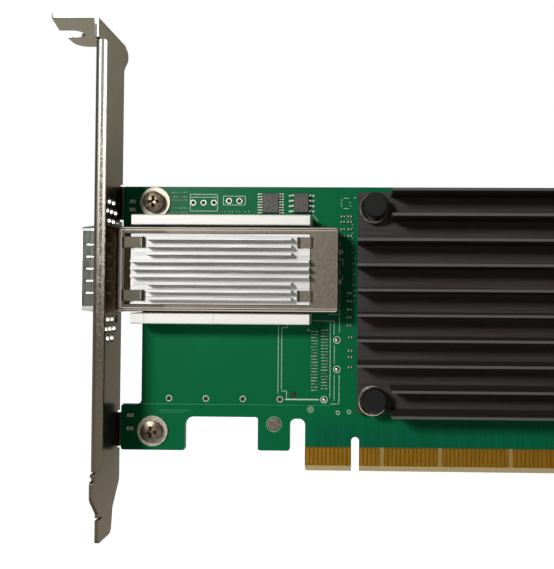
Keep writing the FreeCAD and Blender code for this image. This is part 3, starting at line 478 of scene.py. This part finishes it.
finishes = {
    "solder_mask": solder_mask(),
    "contact_gold": contact_gold(),
    "bracket_steel": bracket_steel(),
    "black_anodise": black_anodise(),
    "cage_tin": cage_tin(),
    "gasket_steel": gasket_steel(),
    "clip_steel": clip_steel(),
    "screw_steel": metal("screw_steel", (0.20, 0.16, 0.12), (0.08, 0.060, 0.042), 0.34, scale=1.5,
                         depth=0.01),
    "washer_plating": metal("washer_plating", (0.46, 0.43, 0.35), (0.26, 0.24, 0.19), 0.52),
    "bright_fins": metal("bright_fins", (0.77, 0.76, 0.74), (0.46, 0.45, 0.435), 0.60, (0.02, 1, 1),
                         scale=3.2, depth=0.02, bare=0.45),
    "rail_aluminium": metal("rail_aluminium", (0.62, 0.61, 0.58), (0.54, 0.53, 0.50), 0.66, (0.03, 1, 1),
                            scale=3.0),
    "connector_gold": metal("connector_gold", (0.70, 0.48, 0.18), (0.45, 0.28, 0.08), 0.30),
    "die_nickel": metal("die_nickel", (0.50, 0.50, 0.52), (0.36, 0.36, 0.38), 0.35),
    "spring_wire": metal("spring_wire", (0.64, 0.58, 0.47), (0.38, 0.33, 0.25), 0.34),
    "lead_tin": metal("lead_tin", (0.42, 0.42, 0.38), (0.13, 0.14, 0.11), 0.44, scale=2.5),
    "dull_land": metal("dull_land", (0.36, 0.40, 0.33), (0.035, 0.055, 0.035), 0.50, depth=0.02),
    "land_tin": metal("land_tin", (0.44, 0.46, 0.40), (0.22, 0.24, 0.20), 0.46, scale=4.0, depth=0.01),
    "rough_solder": metal("rough_solder", (0.20, 0.17, 0.14), (0.06, 0.05, 0.04), 0.50, scale=2.2,
                          depth=0.10),
    "dome_solder": metal("dome_solder", (0.42, 0.43, 0.38), (0.22, 0.23, 0.19), 0.22, depth=0.01),
    # painted highlight: pale steel for the collar's dimples and the patches over its slits
    "collar_highlight": metal("collar_highlight", (0.26, 0.21, 0.14), (0.18, 0.14, 0.09), 0.60),
    "connector_black": moulded("connector_black", (0.012, 0.012, 0.012), (0.03, 0.03, 0.03), 0.45),
    "package_green": moulded("package_green", (0.010, 0.060, 0.025), (0.015, 0.08, 0.03), 0.40),
    "thermal_grey": moulded("thermal_grey", (0.40, 0.41, 0.43), (0.50, 0.51, 0.53), 0.85),
    "pin_nylon": moulded("pin_nylon", (0.006, 0.006, 0.0055), (0.011, 0.011, 0.010), 0.45, 0.006, 5.0, 0.12),
    "chip_black": moulded("chip_black", (0.044, 0.039, 0.033), (0.084, 0.077, 0.066), 0.50, 0.012, 2.6),
    "hole_dark": moulded("hole_dark", (0.006, 0.010, 0.006), (0.012, 0.018, 0.012), 0.60),
    "part_ceramic": moulded("part_ceramic", (0.020, 0.022, 0.016), (0.045, 0.045, 0.034), 0.50),
    "lamp_resin": moulded("lamp_resin", (0.42, 0.44, 0.38), (0.60, 0.62, 0.55), 0.25, 0.003, 2.0, 0.5),
    "mask_ridge": moulded("mask_ridge", (0.010, 0.22, 0.11), (0.020, 0.26, 0.13), 0.40),
    "pale_mask": moulded("pale_mask", (0.10, 0.24, 0.10), (0.20, 0.34, 0.17), 0.45),
    "score_grey": moulded("score_grey", (0.16, 0.16, 0.15), (0.24, 0.24, 0.23), 0.60),
    "white_print": moulded("white_print", (0.42, 0.55, 0.45), (0.62, 0.72, 0.64), 0.60, 0.004),
}

node_finishes = {
    "circuit_board": "solder_mask",
    "edge_contacts_front": "contact_gold",
    "edge_contacts_back": "contact_gold",
    "bracket": "bracket_steel",
    "bracket_screws": "screw_steel",
    "bracket_washers": "washer_plating",
    "port_cage": "cage_tin",
    "cage_gasket": "gasket_steel",
    "heat_sink_clip": "clip_steel",
    "port_heat_sink": "bright_fins",
    "side_rail_upper": "rail_aluminium",
    "side_rail_lower": "rail_aluminium",
    "port_connector": "connector_black",
    "port_connector_contacts": "connector_gold",
    "controller_package": "package_green",
    "controller_die": "die_nickel",
    "thermal_pad": "thermal_grey",
    "main_heat_sink": "black_anodise",
    "push_pins": "pin_nylon",
    "push_pin_springs": "spring_wire",
    "logic_chip": "chip_black",
    "logic_chip_leads": "lead_tin",
    "flash_chip": "chip_black",
    "flash_chip_leads": "lead_tin",
    "chip_parts": "part_ceramic",
    "indicator_lamps": "lamp_resin",
}


def dress(piece, finish):
    """Gives a piece one finish."""
    piece.data.materials.clear()
    piece.data.materials.append(finishes[finish])


for name, finish in node_finishes.items():
    dress(nodes[name], finish)


# ---------------------------------------------------------------- meshes from grids
def grid_piece(name, points, finish, wrap_rows=False):
    """Piece of closed grids: points is (copies, rows, columns, 3), columns run round, and rows may too.

    Grid quads join each point to the next in its row and column. Where rows don't wrap, the first and last
    row are closed by one face each.
    """
    copies, rows, columns = points.shape[:3]
    index = np.arange(copies * rows * columns).reshape(copies, rows, columns)
    right = np.roll(index, -1, axis=2)
    if wrap_rows:
        upper, upper_right = np.roll(index, -1, axis=1), np.roll(right, -1, axis=1)
        quads = np.stack([index, right, upper_right, upper], axis=-1)
    else:
        quads = np.stack([index[:, :-1], right[:, :-1], right[:, 1:], index[:, 1:]], axis=-1)
    faces = quads.reshape(-1, 4).tolist()
    if not wrap_rows:
        faces += index[:, 0, ::-1].tolist() + index[:, -1].tolist()
    mesh = bpy.data.meshes.new(name)
    mesh.from_pydata((points.reshape(-1, 3) * MM).tolist(), [], faces)
    mesh.validate()
    piece = bpy.data.objects.new(name, mesh)
    scene.collection.objects.link(piece)
    dress(piece, finish)
    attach(piece, "root")
    return piece


def smooth(piece):
    """Smooth shading over the whole piece."""
    piece.data.polygons.foreach_set("use_smooth", [True] * len(piece.data.polygons))
    return piece


def power(wave, exponent):
    """Signed power, which squares up a sine or cosine as the exponent falls to 0."""
    return np.sign(wave) * np.abs(wave) ** exponent


def pillows(name, centres, sizes, finish, square=1.0, crown=1.0, rounds=16, levels=5, turns=0.0,
            above=0.0):
    """Low closed lumps on the component side, or at heights above it: superellipsoids cut flat below.

    At turn t and level v, a lump's point is x = a cos(t)^square cos(v)^crown,
    z = c sin(t)^square cos(v)^crown and height = h sin(v)^crown. The level v goes from 0 at the board to
    nearly a right angle at the top.
    """
    centres = np.asarray(centres, float).reshape(-1, 2)
    sizes = np.broadcast_to(np.asarray(sizes, float), (len(centres), 3))
    t = (np.arange(rounds) + 0.5) * 2 * math.pi / rounds
    v = np.linspace(0.0, math.pi / 2 * 0.97, levels)
    spread = np.cos(v) ** crown
    across = spread[:, None] * power(np.cos(t), square)[None, :]
    along = spread[:, None] * power(np.sin(t), square)[None, :]
    lift = np.broadcast_to((np.sin(v) ** crown)[:, None], across.shape)
    angle = np.broadcast_to(np.asarray(turns, float), (len(centres),))[:, None, None]
    base = np.broadcast_to(np.asarray(above, float), (len(centres),))[:, None, None]
    dx = sizes[:, 0, None, None] / 2 * across[None]
    dz = sizes[:, 2, None, None] / 2 * along[None]
    x = centres[:, 0, None, None] + dx * np.cos(angle) - dz * np.sin(angle)
    z = centres[:, 1, None, None] + dx * np.sin(angle) + dz * np.cos(angle)
    y = front - base - sizes[:, 1, None, None] * lift[None]
    return smooth(grid_piece(name, np.stack([x, y, z], axis=-1), finish))


def rings(name, centres, inner, outer, height, finish, side=-1, rounds=28):
    """Flat rings on the board: a rounded loop of section (radius, height) carried round each centre.

    At turn t and section angle v the radius is the middle radius plus half the width times cos(v)^0.5, and
    the height is the ring's height times (1 + sin(v)^0.5) / 2.
    """
    centres = np.asarray(centres, float).reshape(-1, 2)
    t = np.arange(rounds) * 2 * math.pi / rounds
    v = (np.arange(8) + 0.5) * 2 * math.pi / 8
    radius = (inner + outer) / 2 + (outer - inner) / 2 * power(np.cos(v), 0.5)
    lift = height * (1 + power(np.sin(v), 0.5)) / 2
    x = centres[:, 0, None, None] + radius[None, :, None] * np.cos(t)[None, None, :]
    z = centres[:, 1, None, None] + radius[None, :, None] * np.sin(t)[None, None, :]
    face = front if side < 0 else back
    y = np.broadcast_to(face + side * lift[None, :, None], x.shape)
    points = np.stack([x, y, z], axis=-1)
    if side < 0:
        points = points[:, :, ::-1]
    return smooth(grid_piece(name, points, finish, wrap_rows=True))


# ---------------------------------------------------------------- printed marks
def strokes(name, runs, width, height=0.03, finish="white_print", above=0.0):
    """Printed straight strokes from (x0, z0) to (x1, z1), as long low lumps with square ends."""
    runs = np.asarray(runs, float)
    starts, ends = runs[:, :2], runs[:, 2:]
    span = ends - starts
    length = np.hypot(span[:, 0], span[:, 1]) + width
    sizes = np.stack([length, np.full(len(runs), height), np.full(len(runs), width)], axis=-1)
    turns = np.arctan2(span[:, 1], span[:, 0])
    return pillows(name, (starts + ends) / 2, sizes, finish, square=0.12, crown=0.3, rounds=8,
                   levels=3, turns=turns, above=above)


def outline(x0, x1, z0, z1):
    """Four strokes round a rectangle."""
    return [(x0, z0, x1, z0), (x1, z0, x1, z1), (x1, z1, x0, z1), (x0, z1, x0, z0)]


def row(x0, x1, z, count):
    """Evenly spaced places along a row."""
    return [(x, z) for x in np.linspace(x0, x1, count)]


def header_marks():
    """Outlines round the two empty pin headers, the longer one with a second line along its top."""
    marks = outline(-40.73, -34.0, 62.95, 67.05) + [(-40.73, 66.35, -34.0, 66.35)]
    marks += outline(-32.58, -27.2, 64.48, 66.63)
    strokes("header_outlines", marks, width=0.16)


def connector_marks():
    """Outline of the empty connector: a doubled left side, a foot line and stepped lines on the right."""
    marks = [(-18.81, 18.1, -18.81, 35.1), (-17.98, 19.2, -17.98, 34.6), (-17.98, 34.6, -16.7, 34.6),
             (-16.7, 34.6, -16.7, 35.4), (-17.98, 19.2, -16.7, 19.2), (-16.7, 19.2, -16.7, 17.4),
             (-6.17, 17.3, -6.17, 36.3), (-10.37, 36.3, -5.26, 36.3), (-5.26, 36.3, -5.26, 32.9),
             (-5.15, 30.5, -5.15, 25.8), (-5.15, 23.3, -5.15, 16.9), (-3.96, 56.6, -3.96, 32.9),
             (-3.96, 23.3, -3.96, 16.2), (-3.96, 16.2, -6.0, 16.2), (-6.5, 37.9, -3.96, 37.9)]
    strokes("connector_outline", marks, width=0.14)
    strokes("connector_foot_line", [(-17.04, 17.2, -8.73, 17.2)], width=0.34)


def port_marks():
    """Line along the port, ticks round an empty place, hooks and a dot by the port, and buried lines."""
    marks = [(-57.0, 58.75, -3.3, 58.75), (-10.6, 62.2, -9.4, 60.6)]
    marks += [(-3.1, 66.2, -1.9, 66.2), (-1.6, 65.3, -1.6, 65.0), (-1.6, 64.4, -1.3, 64.2),
              (-3.1, 63.7, -1.8, 63.7), (-3.6, 65.9, -3.6, 65.6), (-3.5, 65.1, -3.9, 65.0),
              (-3.6, 64.6, -3.6, 64.2)]
    strokes("port_outline", marks, width=0.13)
    hooks = [(-4.00, 51.30, -3.20, 51.30), (-3.20, 51.30, -3.20, 49.70), (-3.20, 47.20, -3.75, 45.60)]
    strokes("port_hooks", hooks, width=0.26)
    pillows("port_dot", [(-3.55, 53.15)], (0.95, 0.03, 0.95), "white_print", crown=0.4, levels=3)
    buried = [(-57.0, 15.8, -4.0, 15.8), (-48.0, 14.3, -40.0, 14.3), (-48.0, 13.8, -41.5, 13.8)]
    strokes("panel_line", buried, width=0.12, height=0.012, finish="mask_ridge")


def connector_lands():
    """Two columns of bare tinned lands for the empty connector."""
    steps = np.linspace(0.0, 1.0, 20)
    left = [(-9.98, 33.75 - 14.28 * step) for step in steps]
    right = [(-7.52, 34.06 - 14.18 * step) for step in steps]
    pillows("connector_lands", left + right, (1.80, 0.06, 0.27), "dull_land", square=0.35,
            crown=0.5, rounds=12, levels=4)


def small_lands():
    """Rows of small bare lands for parts that this board leaves out."""
    upper = [place for z in (67.5, 66.4, 65.6, 63.7, 62.6) for place in row(-45.2, -41.6, z, 8)]
    beside = [(x, z) for z in (61.9, 61.1, 60.3) for x in (-2.3, -1.4)]
    along = [(x, 62.85) for x in (-32.85, -32.05, -31.1, -30.4, -29.25, -28.6, -27.2, -26.25, -24.95)]
    below = [(-0.95, z) for z in (59.8, 58.9, 57.7, 56.6, 55.2, 54.0, 52.9)]
    column = [(x, z) for z in np.linspace(51.6, 41.2, 9) for x in (-0.75, -0.25)]
    places = upper + beside + along + below + column
    pillows("small_lands", places, (0.26, 0.03, 0.42), "dull_land", square=0.3, crown=0.5,
            rounds=12, levels=3)


def part_ends():
    """Tinned caps over both ends of every chip part and lamp, a little proud of the body."""
    for name, cap in (("chip_parts", 0.28), ("indicator_lamps", 0.40)):
        low, high = boxes_of(name)
        middle_z = (low[:, 2] + high[:, 2]) / 2
        ends = [np.stack([x, middle_z], axis=-1) for x in (low[:, 0] + cap / 2, high[:, 0] - cap / 2)]
        depth = (front - low[:, 1]).max() + 0.04
        width = (high[:, 2] - low[:, 2]).max() + 0.06
        pillows(name + "_ends", np.concatenate(ends), (cap + 0.06, depth, width), "land_tin",
                square=0.25, crown=0.2, rounds=12, levels=4)


def hole_lands():
    """Tinned rings round the plated holes on both faces of the board, and dark discs sunk inside them,
    painted shade of the holes' insides.
    """
    columns = [-45.43, -36.39, -27.35, -18.31]
    lower = [(x, 17.2) for x in columns]
    rings("pin_hole_rings", lower, 0.53, 0.80, 0.05, "land_tin")
    walls = [port_z - 9.4, port_z + 9.4]
    behind = [(x, z) for x in columns + [-7.58] for z in walls + [17.2]]
    rings("pin_hole_rings_behind", behind, 0.53, 0.92, 0.06, "land_tin", side=1)
    headers = [(-39.98, 65.0), (-37.44, 65.0), (-34.90, 65.0), (-31.18, 65.45), (-28.64, 65.45)]
    rings("header_rings", headers, 0.46, 0.76, 0.05, "land_tin")
    rings("header_rings_behind", headers, 0.46, 0.84, 0.06, "land_tin", side=1)
    # painted shade: dark discs sunk into the holes stand in for their dark insides
    sunk = 0.25
    for name, places, radius in (("pin_hole_shade", lower, 0.51), ("header_hole_shade", headers, 0.44)):
        size = (2 * radius, board_depth - 2 * sunk, 2 * radius)
        pillows(name, places, size, "hole_dark", crown=0.05, rounds=20, levels=4,
                above=sunk - board_depth)


def solder_domes():
    """Filled test points, fiducial marks, and the filled last hole of the lower row."""
    domes = [(-7.58, 17.2), (-4.59, 31.66), (-4.52, 24.57)]
    pillows("solder_domes", domes, (1.30, 0.42, 1.30), "dome_solder", rounds=20, levels=8)
    rings("dome_rings", domes, 0.72, 0.90, 0.05, "white_print")
    rings("test_rings", [(-4.21, 14.08), (-1.54, 14.34)], 0.34, 0.52, 0.05, "white_print")
    marks = [(-10.84, 14.81), (-0.27, 66.30), (-11.46, 34.1)]
    pillows("fiducial_dots", marks, (0.62, 0.10, 0.62), "lead_tin", rounds=16, levels=4)
    rings("fiducial_ring", [(-10.84, 14.81)], 0.36, 0.88, 0.03, "pale_mask")
    # painted shade: a dark disc stands in for the dark inside of a via
    pillows("via_hole_shade", [(-15.04, 18.37)], (1.45, 0.04, 1.45), "hole_dark", rounds=20, levels=3)
    pillows("ground_land", [(-19.70, 11.12)], (3.30, 0.07, 3.30), "rough_solder", rounds=28)
    rings("ground_land_ring", [(-19.70, 11.12)], 1.64, 1.94, 0.04, "pale_mask")


def rail_scores():
    """Fine scored lines across the face of the lower rail."""
    low, high = corners("side_rail_lower")
    reach = front - low[1]
    strokes("rail_scores", [(x, low[2] + 0.25, x, high[2] - 0.25) for x in (-32.8, -48.9)], width=0.07,
            height=0.01, finish="score_grey", above=reach)


def collar_marks():
    """Small pressed dimples on the gasket's collar, one on each finger, painted pale as a highlight, and
    pale patches along each slit, painted light over the slits' shade.

    The collar slopes up towards the bracket, so a mark's height is the flare's at its own place: the foot's
    height plus the slope times the way from the foot.
    """
    places = points_of("cage_gasket")
    rim, nearest = places[places[:, 1].argmin(), :2]
    foot = places[:, 0].max() - 0.40
    foot_height = front - cage_top + 0.20
    slope = (front - nearest - foot_height) / (foot - rim)
    inset = 0.55
    # painted highlight: the dimples are pale so they show in the collar's shade
    dimples = [(foot - inset, port_z + finger_pitch * (finger + 0.5)) for finger in range(-3, 3)]
    pillows("collar_dimples", dimples, (0.50, 0.10, 0.55), "collar_highlight", rounds=12, levels=4,
            above=foot_height + slope * inset)
    # painted light: pale patches laid over the slits, where they would show dark shade
    slit_light_patches = np.array([(rim + 0.2 + 0.4 * step, port_z + finger_pitch * slit)
                      for slit in range(-2, 3) for step in range(4)])
    pillows("collar_slit_light_patches", slit_light_patches, (0.50, 0.05, 0.70), "collar_highlight", square=0.3, rounds=12,
            levels=3, above=foot_height + slope * (foot - slit_light_patches[:, 0]))


header_marks()
connector_marks()
port_marks()
connector_lands()
small_lands()
part_ends()
hole_lands()
solder_domes()
rail_scores()
collar_marks()


# ---------------------------------------------------------------- studio
def surround():
    """World: white to the camera, paler behind the card than in front of it for mirrors and as light."""
    world = bpy.data.worlds.new("surround")
    scene.world = world
    world.use_nodes = True
    tree = world.node_tree
    tree.nodes.clear()
    path = add(tree, "LightPath")
    seen = maths(tree, "MAXIMUM", path.outputs["Is Camera Ray"], path.outputs["Is Transmission Ray"])
    direction = add(tree, "SeparateXYZ", {"Vector": add(tree, "TexCoord").outputs["Generated"]})
    behind = between(tree, direction.outputs[1], -0.15, 0.35)
    strengths = (scaled(tree, behind, 0.32, 0.13), scaled(tree, behind, 0.86, 0.14), 1.0)
    made = [add(tree, "Background", {"Color": rgba((1, 1, 1)), "Strength": each}) for each in strengths]
    light, mirrored, white = (background.outputs[0] for background in made)
    glossy = add(tree, "MixShader", {0: path.outputs["Is Glossy Ray"], 1: light, 2: mirrored})
    final = add(tree, "MixShader", {0: seen, 1: glossy.outputs[0], 2: white})
    add(tree, "OutputWorld", {"Surface": final.outputs[0]})


def floor_paint():
    """Matt grey as light falls on it, and white but for faint shadows to the camera and in mirrors."""
    material, tree, shader = start("pale_floor")
    tree.nodes.remove(shader)
    path = add(tree, "LightPath")
    seen = maths(tree, "MAXIMUM", path.outputs["Is Camera Ray"], path.outputs["Is Glossy Ray"])
    matt = add(tree, "BsdfDiffuse", {"Color": rgba((0.40, 0.40, 0.40))})
    faint = add(tree, "BsdfDiffuse", {"Color": rgba((0.25, 0.25, 0.25))})
    glow = add(tree, "Emission", {"Color": rgba((1, 1, 1)), "Strength": 0.95})
    pale = add(tree, "AddShader", {0: faint.outputs[0], 1: glow.outputs[0]})
    mixed = add(tree, "MixShader", {0: seen, 1: matt.outputs[0], 2: pale.outputs[0]})
    tree.links.new(mixed.outputs[0], tree.nodes["Material Output"].inputs["Surface"])
    return material


def lay_floor():
    """Square floor, six metres wide, a hair under the card."""
    reach = 3.0
    level = cad_box[0][2] - 0.0003
    signs = ((-1, -1), (1, -1), (1, 1), (-1, 1))
    mesh = bpy.data.meshes.new("floor")
    mesh.from_pydata([(reach * i, reach * j, level) for i, j in signs], [], [(0, 1, 2, 3)])
    mesh.materials.append(floor_paint())
    floor = bpy.data.objects.new("floor", mesh)
    scene.collection.objects.link(floor)


surround()
lay_floor()
place_lamp("key_lamp", (-0.228, -0.510, 0.200), width=0.108, height=0.083, watts=2.65)
place_lamp("back_lamp", (0.35, 0.55, 0.35), width=0.30, height=0.30, watts=1.2)
place_camera()
scene.view_settings.view_transform = "Standard"
